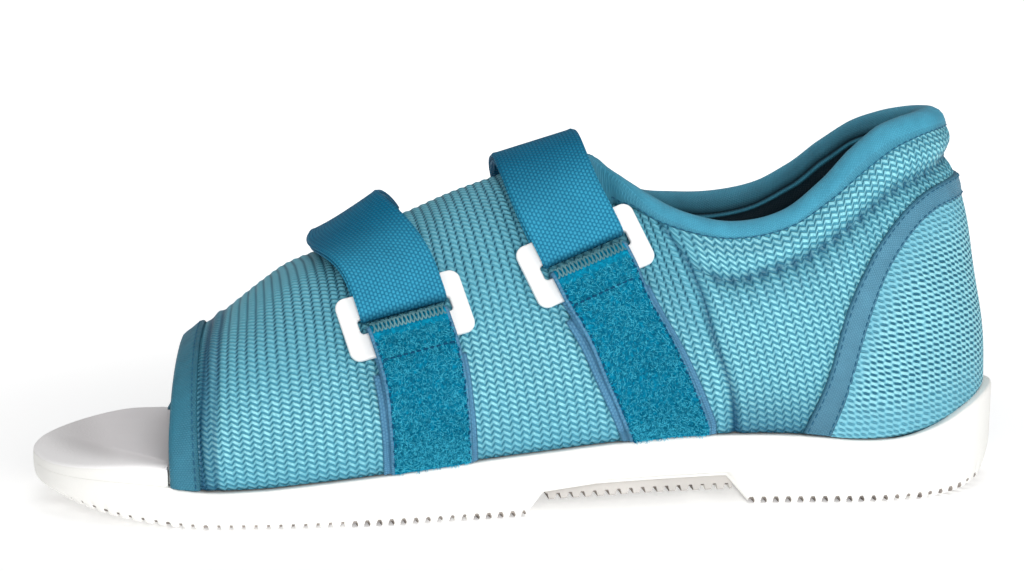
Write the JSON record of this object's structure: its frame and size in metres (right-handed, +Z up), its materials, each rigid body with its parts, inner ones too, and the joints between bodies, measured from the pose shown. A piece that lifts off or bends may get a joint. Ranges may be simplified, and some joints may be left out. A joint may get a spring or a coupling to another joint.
{
  "type": "post operative shoe",
  "caption": "Open-toe post operative shoe: mesh fabric upper on a white foam sole, with padded collar, heel counter and webbing straps turned through plastic loops.",
  "frame": {"origin": "centre of the shoe's bounding box on the floor", "axes": "+X from toe to heel, -Y the side with the loops, +Z up"},
  "size_m": [0.2758, 0.0998, 0.1077],
  "materials": {
    "outsole": "moulded foam, matt",
    "footbed": "foam sheet, matt",
    "upper": "warp-knit spacer mesh, satin yarn",
    "toe_binding": "woven binding tape",
    "collar_binding": "knit binding, smooth",
    "heel_counter": "open-hole spacer mesh",
    "counter_binding": "woven tape",
    "backing": "woven tape selvedge",
    "pile": "brushed loop pile",
    "ring": "moulded, satin",
    "strap": "close woven webbing"
  },
  "bodies": {
    "root": {"outsole": "outsole", "footbed": "footbed", "upper": "upper", "toe_binding": "toe_binding", "collar_binding": "collar_binding", "heel_counter": "heel_counter", "counter_binding": "counter_binding", "front_backing": "backing", "front_pile_strip": "pile", "front_ring": "ring", "front_strap": "strap", "rear_backing": "backing", "rear_pile_strip": "pile", "rear_ring": "ring", "rear_strap": "strap"}
  },
  "joints": []
}
